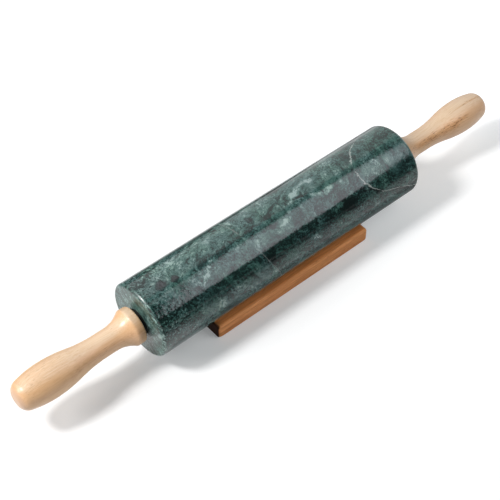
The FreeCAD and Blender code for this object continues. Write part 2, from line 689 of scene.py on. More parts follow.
def zone_effect() -> Tree:
    """A zone on a surface: egg-shaped, fading outwards over a ragged edge.

    Returns:
        The group, which takes a place in millimetres, the zone's centre, turn and reach, and a ragged
        value, and gives a mask.
    """
    edge = (1.25, 0.35)
    effect = SharedEffect("stone_zone", ("Place", "Centre", "Turn", "Reach"), ("Ragged",), ("Mask",))
    desk, given = effect.desk, effect.given
    local = desk.mapping(given["Place"], given["Reach"], given["Centre"], given["Turn"], local=True)
    distance = desk.math("ADD", desk.vector("LENGTH", local), given["Ragged"])
    desk.feed(effect.wanted["Mask"], desk.step(distance, *edge))
    return effect.tree


def figure_effect() -> Tree:
    """The figure of wood cut along X: growth rings, long fibres and short open pores.

    Returns:
        The group, which takes a place in millimetres, the pith's place, the ring width and how much the
        rings wander, and gives masks of the late wood, the fibres and the pores.
    """
    drift_scale, fibre_scale, pore_scale = (0.012, 0.06, 0.06), (0.035, 1.1, 1.1), (0.16, 2.6, 2.6)
    ring_rise, ring_fall = (0.15, 0.86), (1.0, 0.88)
    pore_edge = (0.63, 0.72)
    effect = SharedEffect(
        "wood_figure",
        ("Place", "Pith"),
        ("Ring Width", "Wander"),
        ("Ring", "Fibre", "Pore"),
    )
    desk, given = effect.desk, effect.given
    drift = desk.noise(desk.mapping(given["Place"], drift_scale), colour=True)
    place = desk.bend(given["Place"], drift, given["Wander"])
    radius = desk.from_axis(desk.vector("SUBTRACT", place, given["Pith"]))
    phase = desk.math("FRACT", desk.math("DIVIDE", radius, given["Ring Width"]))
    ring = desk.math("MULTIPLY", desk.step(phase, *ring_rise), desk.step(phase, *ring_fall))
    fibres = desk.noise(desk.mapping(place, fibre_scale), detail=5, rough=0.62)
    dots = desk.noise(desk.mapping(place, pore_scale), detail=2)
    desk.feed(effect.wanted["Ring"], ring)
    desk.feed(effect.wanted["Fibre"], fibres)
    desk.feed(effect.wanted["Pore"], desk.step(dots, *pore_edge))
    return effect.tree


def handling_effect() -> Tree:
    """Traces of polishing and handling: soft smears and very fine lines.

    Returns:
        The group, which takes a place in millimetres and the directions in which lines run long, and
        gives a smear mask and a height.
    """
    smear_scale, smear_range = 0.035, (0.32, 0.68)
    effect = SharedEffect("handling", ("Place", "Line Scale"), (), ("Smear", "Height"))
    desk, given = effect.desk, effect.given
    smear = desk.noise(given["Place"], smear_scale, detail=4, rough=0.6, twist=0.8)
    stretched = desk.vector("MULTIPLY", given["Place"], given["Line Scale"])
    desk.feed(effect.wanted["Smear"], desk.step(smear, *smear_range))
    desk.feed(effect.wanted["Height"], desk.noise(stretched, rough=0.55))
    return effect.tree


class Finish:
    """A material in the making: its nodes, its shader and the place on the surface in millimetres."""

    SOCKETS = {"ior": "IOR", "specular_ior_level": "Specular IOR Level"}

    def __init__(self, name: str, centre: Vector) -> None:
        """Makes a material whose places are counted from a centre, in millimetres.

        Args:
            name: name of the material.
            centre: the point of the part's frame that places are counted from.
        """
        self.material = bpy.data.materials.new(name)
        self.desk = Desk.cleared(self.material)
        self.shader = self.desk.node("ShaderNodeBsdfPrincipled")
        output = self.desk.node("ShaderNodeOutputMaterial")
        self.desk.feed(output.inputs["Surface"], self.shader.outputs[0])
        spot = self.desk.node("ShaderNodeTexCoord").outputs["Object"]
        self.place = self.desk.mapping(spot, (1 / MM,) * 3, tuple(-axis / MM for axis in centre))

    def set(self, **values: Feed) -> None:
        """Links or sets sockets of the shader.

        Args:
            values: outputs or values by the sockets' names, as in base_color or coat_weight.
        """
        for name, value in values.items():
            socket = self.SOCKETS.get(name, name.replace("_", " ").title())
            self.desk.feed(self.shader.inputs[socket], value)

    def bump(self, height: Socket, strength: float, distance: float) -> None:
        """Feeds a height to the shader's normal.

        Args:
            height: the height, from 0 to 1.
            strength: how strongly it shows.
            distance: what a height of 1 stands for, in metres.
        """
        made = self.desk.node("ShaderNodeBump")
        made.inputs["Strength"].default_value = strength
        made.inputs["Distance"].default_value = distance
        self.desk.feed(made.inputs["Height"], height)
        self.desk.feed(self.shader.inputs["Normal"], made.outputs[0])


@dataclass(frozen=True)
class Vein:
    """A vein across the barrel, as a plane through the stone.

    On the round side it runs at x = middle - swing * cos(angle - bow), in millimetres, where the angle is
    counted from the top towards the front. Below the fold's height it steps aside along X.
    """

    middle: float
    swing: float
    bow: float
    width: float
    waver: float
    strength: float
    breaks: float
    side: float = 0.0
    fold: float = 0.0
    fold_height: float = 0.0


@dataclass(frozen=True)
class Zone:
    """A zone of another tone on a round side, in millimetres and degrees.

    The angle is counted from the top towards the front. On the stone a positive lift is paler and a
    negative one darker, and the plum share is how far the zone turns from green. On wood the lift is how
    brown it is.
    """

    x: float
    angle: float
    length: float
    width: float
    turn: float
    lift: float
    plum: float = 0.0
    depth: float = 6.0

    def mask(self, desk: Desk, tree: Tree, place: Socket, radius: float, ragged: Socket) -> Socket:
        """Lays the zone on a round piece.

        Args:
            desk: where the nodes go.
            tree: the shared zone group.
            place: the place on the surface.
            radius: radius of the round piece.
            ragged: what makes the zone's edge uneven.

        Returns:
            A mask of the zone.
        """
        angle = math.radians(self.angle)
        turn = Matrix.Rotation(angle, 3, "X") @ Matrix.Rotation(math.radians(-self.turn), 3, "Z")
        laid = desk.group(
            tree,
            place=place,
            centre=(self.x, -radius * math.sin(angle), radius * math.cos(angle)),
            turn=turn.to_euler("XYZ"),
            reach=(self.length, self.width, self.depth),
            ragged=ragged,
        )
        return laid.outputs["Mask"]


@dataclass(frozen=True)
class Thread:
    """Thin lines in the stone, where a noise passes its middle value."""

    scale: float
    detail: float
    thickness: float
    lift: float
    twist: float = 0.0
    shift: Triple = Desk.ORIGIN


@dataclass(frozen=True)
class PolishedMarble:
    """Dark green marble, layered, mottled, veined and polished, with its lengths in millimetres."""

    radius: float
    half_length: float
    rim_round: float
    layer_swing: float = 57.0
    layer_bow: float = 25.0
    base_level: float = 0.568
    seam_size: Pair = (22.0, 5.0)
    seam_thickness: float = 0.018
    seam_lift: float = 0.12
    thread_core: float = 0.125
    lump_scale: float = 0.26
    grain_scale: float = 0.62
    mottle: float = 0.90
    fleck_scale: float = 0.55
    fleck_shift: Triple = (2.0, 8.0, 61.0)
    fleck_range: Pair = (0.48, 0.36)
    fleck_depth: float = 0.25
    busy_scale: float = 0.035
    busy_range: Pair = (0.36, 0.62)
    busy_span: Pair = (0.30, 1.15)
    busy_end: Pair = (-92.0, -116.0)
    busy_end_more: float = 0.8
    ragged_scale: float = 0.32
    ragged_reach: float = 1.3
    tint_scale: float = 0.045
    tint_shift: Triple = (71.0, 3.0, 22.0)
    tint_range: Pair = (0.36, 0.64)
    leaf: Triple = (0.93, 1.01, 0.95)
    dusk: Triple = (1.02, 0.99, 1.04)
    plum_dark: Triple = (0.008, 0.009, 0.011)
    plum_light: Triple = (0.062, 0.063, 0.073)
    plum_range: Pair = (0.1, 0.8)
    crystal: Triple = (0.50, 0.54, 0.52)
    halo_share: float = 0.12
    end_inset: float = 0.6
    end_rough: float = 0.22
    end_layers: Pair = (7.0, 0.9)
    end_level: float = 0.46
    end_fibres: float = 3.2
    end_front: float = 0.6
    ior: float = 1.6
    roughness: Pair = (0.06, 0.11)
    line_scale: float = 1.5
    line_share: float = 0.1
    wave_scale: float = 0.30
    waves: float = 0.10 * MM

    TONES = (
        (0.05, (0.0022, 0.0078, 0.0070)),
        (0.25, (0.0066, 0.0210, 0.0190)),
        (0.40, (0.0160, 0.0470, 0.0425)),
        (0.52, (0.0290, 0.0770, 0.0695)),
        (0.64, (0.0510, 0.1110, 0.1015)),
        (0.78, (0.0820, 0.1510, 0.1390)),
        (0.90, (0.1350, 0.2120, 0.1980)),
        (1.00, (0.2500, 0.3400, 0.3220)),
    )
    # Scale, detail and reach of the noises that bend the layers.
    BENDS = ((0.03, 2, 14.0), (0.14, 3, 4.0))
    # Length along the layers, width across them, and how far they swing the tone.
    LAYERS = ((46.0, 20.0, 0.95), (14.0, 3.6, 1.25))
    THREADS = (
        Thread(scale=0.05, detail=5, thickness=0.012, lift=-0.28),
        Thread(scale=0.11, detail=4, thickness=0.022, lift=-0.22),
        Thread(scale=0.14, detail=3, thickness=0.020, lift=0.10, twist=1.0, shift=(31.0, 7.0, 3.0)),
        Thread(scale=0.18, detail=3, thickness=0.024, lift=-0.18, twist=1.0, shift=(5.0, 43.0, 9.0)),
    )
    VEINS = (
        Vein(129.5, 57.0, 26.0, width=0.46, waver=3.6, strength=0.56, breaks=0.38, side=0.60, fold=10.5,
             fold_height=6.5),
        Vein(-25.0, 13.5, -20.0, width=0.60, waver=4.0, strength=0.18, breaks=0.44),
    )
    # Place along the barrel, angle, length, width, turn and lift, then the plum share and the depth.
    ZONES = (
        # The first three zones run the barrel's whole length at fixed angles and paint light and shade:
        # paler on the lit top, a little paler just in front of it, darker along the front band.
        Zone(0.0, -18.0, 170.0, 12.0, 0.0, 0.12, 0.0, 7.0),
        Zone(0.0, 56.0, 170.0, 8.0, 0.0, -0.22, 0.0, 7.0),
        Zone(0.0, 9.0, 170.0, 5.0, 0.0, 0.07, 0.0, 5.0),
        Zone(12.0, -37.0, 11.0, 4.0, 0.0, -0.25),
        Zone(19.0, 0.0, 9.0, 3.4, -30.0, 0.62),
        Zone(29.0, -8.0, 6.0, 1.9, -20.0, 0.24),
        Zone(37.0, -8.0, 4.0, 2.4, 10.0, 0.44),
        Zone(34.0, 15.0, 5.8, 1.9, 14.0, 0.38),
        Zone(45.0, 19.0, 5.8, 2.8, 16.0, 0.45),
        Zone(-72.0, 24.0, 5.0, 2.4, -32.0, 0.40),
        Zone(-65.0, 17.0, 9.0, 3.2, -26.0, 0.42),
        Zone(-78.0, 37.0, 9.0, 1.7, -48.0, 0.44),
        Zone(-63.5, 5.5, 4.6, 1.8, 5.0, 0.26),
        Zone(-88.5, -20.0, 7.5, 1.6, 58.0, 0.28),
        Zone(-36.5, -22.0, 9.2, 2.2, 80.0, 0.26),
        Zone(-1.0, 26.5, 5.0, 2.4, -25.0, 0.34),
        Zone(-7.0, 32.0, 8.0, 2.8, -30.0, 0.22),
        Zone(6.5, 17.5, 2.4, 1.8, 0.0, 0.36),
        Zone(91.0, 26.5, 5.2, 2.5, -12.0, 0.32),
        Zone(105.0, 34.5, 6.9, 2.8, 5.0, 0.28),
        Zone(-73.5, 86.0, 4.8, 5.0, 0.0, 0.47),
        Zone(19.5, 75.0, 4.1, 4.0, 0.0, 0.45),
        Zone(-30.5, 42.0, 4.6, 6.2, 10.0, 0.19),
        Zone(-72.0, -14.0, 30.0, 8.0, -8.0, 0.05),
        Zone(20.0, 7.0, 13.0, 1.6, 19.0, -0.38),
        Zone(43.0, 24.5, 13.0, 1.4, 5.0, -0.30),
        Zone(-10.0, 4.5, 8.0, 2.4, 10.0, -0.36),
        Zone(-52.0, 13.0, 36.0, 2.2, -3.0, -0.32),
        Zone(-24.0, 76.0, 9.5, 1.3, 68.0, 0.28),
        Zone(-127.0, 80.0, 3.5, 14.0, 0.0, 0.26, 0.0, 7.0),
        Zone(114.0, 77.0, 5.8, 3.8, 20.0, 0.24),
        Zone(-109.0, 8.0, 6.2, 3.9, 0.0, -0.26, 0.85),
        Zone(-97.0, 8.5, 3.6, 2.8, 0.0, -0.28, 0.75),
        Zone(-113.0, 1.0, 15.0, 9.0, 0.0, 0.06, 0.18),
        Zone(-120.0, -13.0, 7.0, 6.0, 20.0, -0.14, 0.32),
        Zone(-22.5, -6.5, 3.6, 3.2, 0.0, -0.33, 0.45),
        Zone(-13.0, 23.5, 5.0, 2.6, 10.0, -0.30, 0.15),
        Zone(32.0, 34.5, 4.5, 4.6, 20.0, -0.28, 0.25),
        Zone(52.5, 38.0, 6.5, 3.6, 10.0, -0.30, 0.30),
        Zone(58.0, 55.0, 10.0, 5.0, 0.0, -0.30, 0.20),
        Zone(78.0, -13.0, 7.0, 3.0, -55.0, -0.22, 0.20),
        Zone(2.0, -7.0, 22.0, 1.7, -22.0, -0.34),
        Zone(72.5, 83.0, 4.0, 3.0, 0.0, -0.25, 0.20),
    )

    def make(self, centre: Vector, effects: Effects) -> Material:
        """Builds the material.

        Args:
            centre: the middle of the barrel in the part's frame.
            effects: the shared node groups by name.

        Returns:
            The material.
        """
        finish = Finish("polished_marble", centre)
        desk, place = finish.desk, finish.place
        swirl = self.swirled(desk, place)
        lift, plum = self.zoned(desk, swirl, effects["zone"])
        sides = desk.sides(place)
        ends = self.ends(desk, sides["X"])
        lift = desk.math("ADD", lift, self.end_stripes(desk, place, ends, sides["Y"]))
        busy = desk.step(desk.noise(place, self.busy_scale), *self.busy_range, *self.busy_span)
        busy = desk.math("ADD", busy, desk.step(sides["X"], *self.busy_end, 0.0, self.busy_end_more))
        colour = self.body_colour(desk, swirl, self.tone(desk, place, swirl, lift, busy), plum)
        colour = self.veined(desk, place, colour, effects["vein"])
        traces = desk.group(effects["handling"], place=place, line_scale=(self.line_scale,) * 3)
        polish = desk.step(traces.outputs["Smear"], 0.0, 1.0, *self.roughness)
        finish.set(
            base_color=colour,
            roughness=desk.math("ADD", polish, desk.math("MULTIPLY", ends, self.end_rough)),
            ior=self.ior,
        )
        lines = desk.math("MULTIPLY", traces.outputs["Height"], self.line_share)
        relief = desk.math("ADD", desk.noise(place, self.wave_scale, rough=0.6), lines)
        finish.bump(relief, 1.0, self.waves)
        return finish.material

    def ends(self, desk: Desk, along: Socket) -> Socket:
        """The two ends with their rounded rims, which are ground duller than the side.

        Args:
            desk: where the nodes go.
            along: the place along X.

        Returns:
            A mask of the ends.
        """
        start = self.half_length - self.rim_round
        full = self.half_length - self.rim_round * self.end_inset
        return desk.step(desk.math("ABSOLUTE", along), start, full)

    def end_stripes(self, desk: Desk, place: Socket, ends: Socket, depth: Socket) -> Socket:
        """The fine layers that show on the front half of the ends.

        Args:
            desk: where the nodes go.
            place: the place on the surface.
            ends: the mask of the ends.
            depth: the place along Y.

        Returns:
            How much paler or darker the stripes are.
        """
        fibres = desk.math("SUBTRACT", self.layers(desk, place, *self.end_layers), self.end_level)
        front = desk.step(depth, 0.0, -self.end_front * self.radius, 0.0, self.end_fibres)
        return desk.math("MULTIPLY", desk.math("MULTIPLY", fibres, ends), front)

    def facing(self, swing: float, bow: float) -> Vector:
        """The direction across a plane through the stone.

        Args:
            swing: how far along X the plane's cut through the round side swings.
            bow: the angle at which the cut turns back, in degrees.

        Returns:
            The direction, not yet of length 1.
        """
        slope = swing / self.radius
        angle = math.radians(bow)
        return Vector((1.0, -slope * math.sin(angle), slope * math.cos(angle)))

    def swirled(self, desk: Desk, place: Socket) -> Socket:
        """The place bent by two sizes of noise, so that the layers flow.

        Args:
            desk: where the nodes go.
            place: the place on the surface.

        Returns:
            The bent place.
        """
        bent = place
        for scale, detail, reach in self.BENDS:
            noise = desk.noise(place, scale, detail, rough=0.55, colour=True)
            bent = desk.bend(bent, noise, reach)
        return bent

    def layers(self, desk: Desk, place: Socket, along: float, across: float) -> Socket:
        """Noise that runs long in the stone's layers and changes quickly across them.

        Args:
            desk: where the nodes go.
            place: the place on the surface.
            along: how long the noise runs in the layers.
            across: how wide it is across them.

        Returns:
            The noise.
        """
        turn = self.facing(self.layer_swing, self.layer_bow).to_track_quat("Z", "Y").to_euler()
        laid = desk.mapping(place, (along, along, across), turn=turn, local=True)
        return desk.noise(laid, detail=5, rough=0.62, twist=0.3)

    def tone(self, desk: Desk, place: Socket, swirl: Socket, lift: Socket, busy: Socket) -> Socket:
        """How pale the stone is: layers, lumps, grain, dark flecks and threads over the zones.

        Args:
            desk: where the nodes go.
            place: the place on the surface.
            swirl: the place bent along the flow of the layers.
            lift: how much paler the zones are.
            busy: how strong the mottling is.

        Returns:
            The tone, from 0 to 1.
        """
        flecks = desk.noise(desk.mapping(swirl, place=self.fleck_shift), self.fleck_scale, detail=2)
        dark = desk.math("MULTIPLY", desk.step(flecks, *self.fleck_range), busy)
        level = desk.math("ADD", lift, self.base_level)
        level = desk.math("SUBTRACT", level, desk.math("MULTIPLY", dark, self.fleck_depth))
        for along, across, reach in self.LAYERS:
            level = desk.math("ADD", level, desk.swing(self.layers(desk, swirl, along, across), reach))
        mottle = desk.math("MULTIPLY", busy, self.mottle)
        lumps = desk.noise(swirl, self.lump_scale, detail=4, rough=0.65, twist=1.2)
        grain = desk.noise(place, self.grain_scale, rough=0.7)
        for source in (lumps, grain):
            level = desk.math("ADD", level, desk.swing(source, mottle))
        seams = self.layers(desk, swirl, *self.seam_size)
        level = self.threaded(desk, level, seams, self.seam_thickness, self.seam_lift)
        for thread in self.THREADS:
            shifted = desk.mapping(swirl, place=thread.shift)
            source = desk.noise(shifted, thread.scale, thread.detail, rough=0.6, twist=thread.twist)
            level = self.threaded(desk, level, source, thread.thickness, thread.lift)
        return level

    def threaded(self, desk: Desk, level: Socket, source: Socket, thickness: float, lift: float) -> Socket:
        """The tone with thin lines laid in, at their full lift in the core of their thickness.

        Args:
            desk: where the nodes go.
            level: the tone so far.
            source: the noise whose middle value draws the lines.
            thickness: how far from the middle value the lines reach.
            lift: how much paler the lines are.

        Returns:
            The new tone.
        """
        away = desk.math("ABSOLUTE", desk.math("SUBTRACT", source, desk.MIDDLE))
        line = desk.step(away, thickness, thickness * self.thread_core, 0.0, lift)
        return desk.math("ADD", level, line)

    def body_colour(self, desk: Desk, swirl: Socket, level: Socket, plum: Socket) -> Socket:
        """The stone's colour: leaf green or bluish by area, and plum where a zone asks for it.

        Args:
            desk: where the nodes go.
            swirl: the place bent along the flow of the layers.
            level: the tone.
            plum: the plum share.

        Returns:
            The colour.
        """
        drift = desk.noise(desk.mapping(swirl, place=self.tint_shift), self.tint_scale, rough=0.55)
        tint = desk.mix(desk.step(drift, *self.tint_range), self.leaf, self.dusk)
        green = desk.mix(1.0, desk.ramp(level, self.TONES), tint, "MULTIPLY")
        dusky = desk.ramp(level, tuple(zip(self.plum_range, (self.plum_dark, self.plum_light))))
        return desk.mix(plum, green, dusky)

    def zoned(self, desk: Desk, place: Socket, tree: Tree) -> tuple[Socket, Socket]:
        """Lays all the zones on the barrel.

        Args:
            desk: where the nodes go.
            place: the place on the surface, bent along the flow of the layers.
            tree: the shared zone group.

        Returns:
            How much paler the zones are, and their plum share. A plum zone has a dark edge.
        """
        uneven = desk.noise(place, self.ragged_scale, detail=4, rough=0.65)
        ragged = desk.swing(uneven, self.ragged_reach)
        lift: Feed = 0.0
        plum: Feed = 0.0
        for zone in self.ZONES:
            mask = zone.mask(desk, tree, place, self.radius, ragged)
            lift = desk.math("ADD", lift, desk.math("MULTIPLY", mask, zone.lift))
            if zone.plum:
                plum = desk.math("MAXIMUM", plum, desk.math("MULTIPLY", mask, zone.plum))
                edge = desk.math("MULTIPLY", mask, desk.math("SUBTRACT", 1.0, mask))
                lift = desk.math("SUBTRACT", lift, desk.math("MULTIPLY", edge, zone.plum))
        return lift, plum

    def veined(self, desk: Desk, place: Socket, colour: Socket, tree: Tree) -> Socket:
        """Lays the veins in.

        Args:
            desk: where the nodes go.
            place: the place on the surface.
            colour: the stone's colour so far.
            tree: the shared vein group.

        Returns:
            The colour with the veins.
        """
        for vein in self.VEINS:
            facing = self.facing(vein.swing, vein.bow)
            line = desk.group(
                tree,
                place=place,
                facing=tuple(facing.normalized()),
                offset=vein.middle / facing.length,
                width=vein.width,
                waver=vein.waver,
                breaks=vein.breaks,
                fold=vein.fold / facing.length,
                fold_height=vein.fold_height,
            ).outputs
            if vein.side:
                colour = desk.mix(desk.math("MULTIPLY", line["Side"], vein.side), colour, self.plum_dark)
            halo = desk.math("MULTIPLY", line["Halo"], self.halo_share * vein.strength)
            core = desk.math("MULTIPLY", line["Core"], vein.strength)
            colour = desk.mix(halo, colour, self.plum_light)
            colour = desk.mix(core, colour, self.crystal)
        return colour


@dataclass(frozen=True)
class LacqueredWood:
    """Wood with rings, fibres and pores under a clear finish, with its lengths in millimetres. Its tops
    carry a painted highlight, and its end faces a darker end grain with painted shade.
    """

    name: str
    early: Triple
    late: Triple
    pore: Triple
    fleck: Triple
    blush: Triple
    streak: Triple
    # pale: the colour of a painted highlight, mixed in where a face points up
    pale: Triple
    # end grain: the end faces' own darker colour, made darker still as painted shade
    end_grain: Triple
    pith: Triple
    ring_width: float
    wander: float
    ring_depth: float
    fibre_depth: float
    pore_depth: float
    pale_depth: float
    end_depth: float
    roughness: float
    gloss: float
    coat: float
    coat_roughness: float
    marks: tuple[Zone, ...] = ()
    mark_radius: float = 12.5
    mark_ragged: float = 3.0
    fleck_scale: Triple = (0.30, 1.3, 1.3)
    fleck_range: Pair = (0.55, 0.64)
    blush_scale: Triple = (0.015, 0.05, 0.05)
    blush_range: Pair = (0.42, 0.70)
    blush_depth: float = 0.6
    pale_range: Pair = (0.70, 1.0)
    end_range: Pair = (0.55, 0.9)
    rough_spread: float = 0.15
    line_scale: Triple = (0.05, 1.8, 1.8)
    relief: Pair = (0.25, 0.04 * MM)

    def make(self, centre: Vector, effects: Effects) -> Material:
        """Builds the material.

        Args:
            centre: the point of the part's frame that places are counted from.
            effects: the shared node groups by name.

        Returns:
            The material.
        """
        finish = Finish(self.name, centre)
        desk, place = finish.desk, finish.place
        figure = desk.group(
            effects["figure"], place=place, pith=self.pith, ring_width=self.ring_width, wander=self.wander
        ).outputs
        colour = desk.mix(desk.math("MULTIPLY", figure["Ring"], self.ring_depth), self.early, self.late)
        warm = desk.noise(desk.mapping(place, self.blush_scale))
        colour = desk.mix(desk.step(warm, *self.blush_range, 0.0, self.blush_depth), colour, self.blush)
        facing = desk.sides(desk.node("ShaderNodeTexCoord").outputs["Normal"])
        # Painted highlight: faces that point up are mixed towards the pale colour, standing in for the
        # light that falls on the top; on the rest it lightens the lip that lies in the barrel's shade.
        painted_top_light = desk.step(facing["Z"], *self.pale_range, 0.0, self.pale_depth)
        colour = desk.mix(painted_top_light, colour, self.pale)
        shade = desk.step(figure["Fibre"], *desk.SPREAD, self.fibre_depth, 0.0)
        colour = desk.mix(shade, colour, self.streak)
        colour = self.marked(desk, place, colour, figure["Fibre"], effects["zone"])
        colour = desk.mix(desk.math("MULTIPLY", figure["Pore"], self.pore_depth), colour, self.pore)
        # Painted shade, in part: faces along X are mixed towards a colour darker than the wood's own end
        # grain, where those ends lie in shade or face the lamps from the left.
        ends = desk.step(desk.math("ABSOLUTE", facing["X"]), *self.end_range, 0.0, self.end_depth)
        traces = desk.group(effects["handling"], place=place, line_scale=self.line_scale).outputs
        smooth = self.roughness * (1 - self.rough_spread)
        rough = self.roughness * (1 + self.rough_spread)
        finish.set(
            base_color=desk.mix(ends, colour, self.end_grain),
            roughness=desk.step(traces["Smear"], 0.0, 1.0, smooth, rough),
            specular_ior_level=self.gloss,
            coat_weight=self.coat,
            coat_roughness=self.coat_roughness,
        )
        finish.bump(desk.math("SUBTRACT", traces["Height"], figure["Pore"]), *self.relief)
        return finish.material

    def marked(self, desk: Desk, place: Socket, colour: Socket, fibre: Socket, tree: Tree) -> Socket:
        """Lays in brown marks that break up along the fibres.

        Args:
            desk: where the nodes go.
            place: the place on the surface.
            colour: the wood's colour so far.
            fibre: the noise of the fibres.
            tree: the shared zone group.

        Returns:
            The colour with the marks.
        """
        ragged = desk.swing(fibre, self.mark_ragged)
        specks = desk.noise(desk.mapping(place, self.fleck_scale), detail=2)
        flecks = desk.step(specks, *self.fleck_range)
        for mark in self.marks:
            mask = mark.mask(desk, tree, place, self.mark_radius, ragged)
            share = desk.math("MULTIPLY", mask, mark.lift)
            colour = desk.mix(share, colour, self.streak)
            colour = desk.mix(desk.math("MULTIPLY", share, flecks), colour, self.fleck)
        return colour


@dataclass(frozen=True)
class TurnedMetal:
    """Metal with the fine rings that a lathe leaves."""

    name: str
    colour: Triple
    dull: Triple
    roughness: float
    rough_spread: float = 0.3
    rings_per_mm: float = 6.0
    line_scale: float = 3.0
    dull_range: Pair = (0.2, 1.0)
    dull_share: float = 0.5
    relief: Pair = (0.2, 0.01 * MM)

    def make(self, centre: Vector, effects: Effects) -> Material:
        """Builds the material.

        Args:
            centre: a point of the part's frame on the pin's axis.
            effects: the shared node groups by name.

        Returns:
            The material.
        """
        finish = Finish(self.name, centre)
        desk, place = finish.desk, finish.place
        rings = desk.node("ShaderNodeCombineXYZ")
        desk.feed(rings.inputs["X"], desk.math("MULTIPLY", desk.from_axis(place), self.rings_per_mm))
        lines = desk.noise(rings.outputs[0], detail=4, rough=0.6)
        traces = desk.group(effects["handling"], place=place, line_scale=(self.line_scale,) * 3).outputs
        dull = desk.step(traces["Smear"], *self.dull_range, 0.0, self.dull_share)
        smooth = self.roughness * (1 - self.rough_spread)
        rough = self.roughness * (1 + self.rough_spread)
        finish.set(
            base_color=desk.mix(dull, self.colour, self.dull),
            metallic=1.0,
            roughness=desk.step(lines, *desk.SPREAD, smooth, rough),
        )
        finish.bump(lines, *self.relief)
        return finish.material


@dataclass(frozen=True)
class MouldedNylon:
    """Black nylon with the fine grain of its mould."""

    name: str = "moulded_nylon"
    colour: Triple = (0.006, 0.006, 0.006)
    worn: Triple = (0.014, 0.014, 0.014)
    roughness: Pair = (0.42, 0.58)
    gloss: float = 0.15
    grain_scale: float = 7.0
    relief: Pair = (0.3, 0.02 * MM)

    def make(self, centre: Vector, effects: Effects) -> Material:
        """Builds the material.

        Args:
            centre: the point of the part's frame that places are counted from.
            effects: the shared node groups by name.

        Returns:
            The material.
        """
        finish = Finish(self.name, centre)
        desk, place = finish.desk, finish.place
        traces = desk.group(effects["handling"], place=place, line_scale=(self.grain_scale,) * 3).outputs
        finish.set(
            base_color=desk.mix(traces["Smear"], self.colour, self.worn),
            roughness=desk.step(traces["Height"], *desk.SPREAD, *self.roughness),
            specular_ior_level=self.gloss,
        )
        finish.bump(traces["Height"], *self.relief)
        return finish.material


def dress(piece: Piece, material: Material) -> None:
    """Gives a piece one material.

    Args:
        piece: the piece.
        material: what it is made of.
    """
    piece.data.materials.clear()
    piece.data.materials.append(material)


def seat(piece: Piece, body: Body, node: str) -> None:
    """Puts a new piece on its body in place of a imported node, and reports it.

    Args:
        piece: the new piece.
        body: what it moves with.
        node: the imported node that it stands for.
    """
    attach(piece, body.value)
    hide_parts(node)
    LOG.info("%s: %d faces, on %s", piece.name, len(piece.data.polygons), body.value)


@dataclass
class Barrel:
    """The stone barrel and the nylon bush in each of its ends."""

    rim_round: float = 2.6 * MM
    bore_radius: float = 6.0 * MM
    bush_seat_radius: float = 8.0 * MM
    bush_reach: float = 20.0 * MM
    mouth_round: float = 0.5 * MM
    bush_bore_radius: float = 4.05 * MM
    flange_round: float = 0.4 * MM
    edge_hold: float = 0.4 * MM
    rim_steps: int = 12
    flange_steps: int = 5
    mouth_steps: int = 4
    steps: int = 192
    bush_steps: int = 96

    def __post_init__(self) -> None:
        """Reads the barrel's and the bushes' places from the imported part."""
        low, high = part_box("marble_barrel")
        self.half_length = (high.x - low.x) / 2
        self.radius = (high.z - low.z) / 2
        self.axis_height = (high.z + low.z) / 2
        bush_low, bush_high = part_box("right_bush")
        self.flange_face = bush_high.x
        self.flange_radius = (bush_high.z - bush_low.z) / 2

    def build(self, marble: Material, nylon: Material) -> None:
        """Makes and dresses the barrel and both bushes.

        Args:
            marble: the barrel's material.
            nylon: the bushes' material.
        """
        stone = self.stone()
        dress(stone, marble)
        seat(stone, Body.BARREL, "marble_barrel")
        bush = self.bush()
        bushes = {End.RIGHT: bush, End.LEFT: Workbench.turned_copy(bush, "bush_left_nylon")}
        for end, piece in bushes.items():
            dress(piece, nylon)
            seat(piece, Body.BARREL, f"{end.word}_bush")

    def stone(self) -> Piece:
        """Turns the barrel: rounded rims, flat ends, a mouth for each bush and a through bore.

        Returns:
            The barrel.
        """
        end = self.half_length
        middle = Vector((0, self.radius))
        rim = Vector((end, self.radius))
        mouth = Vector((end, self.bush_seat_radius))
        bottom = Vector((end - self.bush_reach, self.bush_seat_radius))
        right = [
            middle,
            Vector((end - self.rim_round - self.edge_hold, self.radius)),
            *round_corner(middle, rim, mouth, self.rim_round, self.rim_steps),
            Vector((end, self.radius - self.rim_round - self.edge_hold)),
            Vector((end, self.bush_seat_radius + self.mouth_round + self.edge_hold)),
            *round_corner(rim, mouth, bottom, self.mouth_round, self.mouth_steps),
            bottom,
            Vector((end - self.bush_reach, self.bore_radius)),
        ]
        left = [Vector((-point.x, point.y)) for point in reversed(right)]
        loop = left[:-1] + right
        loop.append(loop[0])
        return Workbench.turn("barrel_stone", loop, self.axis_height, self.steps)

    def bush(self) -> Piece:
        """Turns the right-hand bush: a sleeve in the stone and a flange on the end face.

        Returns:
            The bush.
        """
        inner = self.half_length - self.bush_reach
        start = Vector((inner, self.bush_bore_radius))
        seated = Vector((self.half_length, self.flange_radius))
        corner = Vector((self.flange_face, self.flange_radius))
        lip = Vector((self.flange_face, self.bush_bore_radius))
        outline = [
            start,
            Vector((inner, self.bush_seat_radius)),
            Vector((self.half_length, self.bush_seat_radius)),
            seated,
            *round_corner(seated, corner, lip, self.flange_round, self.flange_steps),
            *round_corner(corner, lip, start, self.flange_round, self.mouth_steps),
            start,
        ]
        return Workbench.turn("bush_right_nylon", outline, self.axis_height, self.bush_steps)


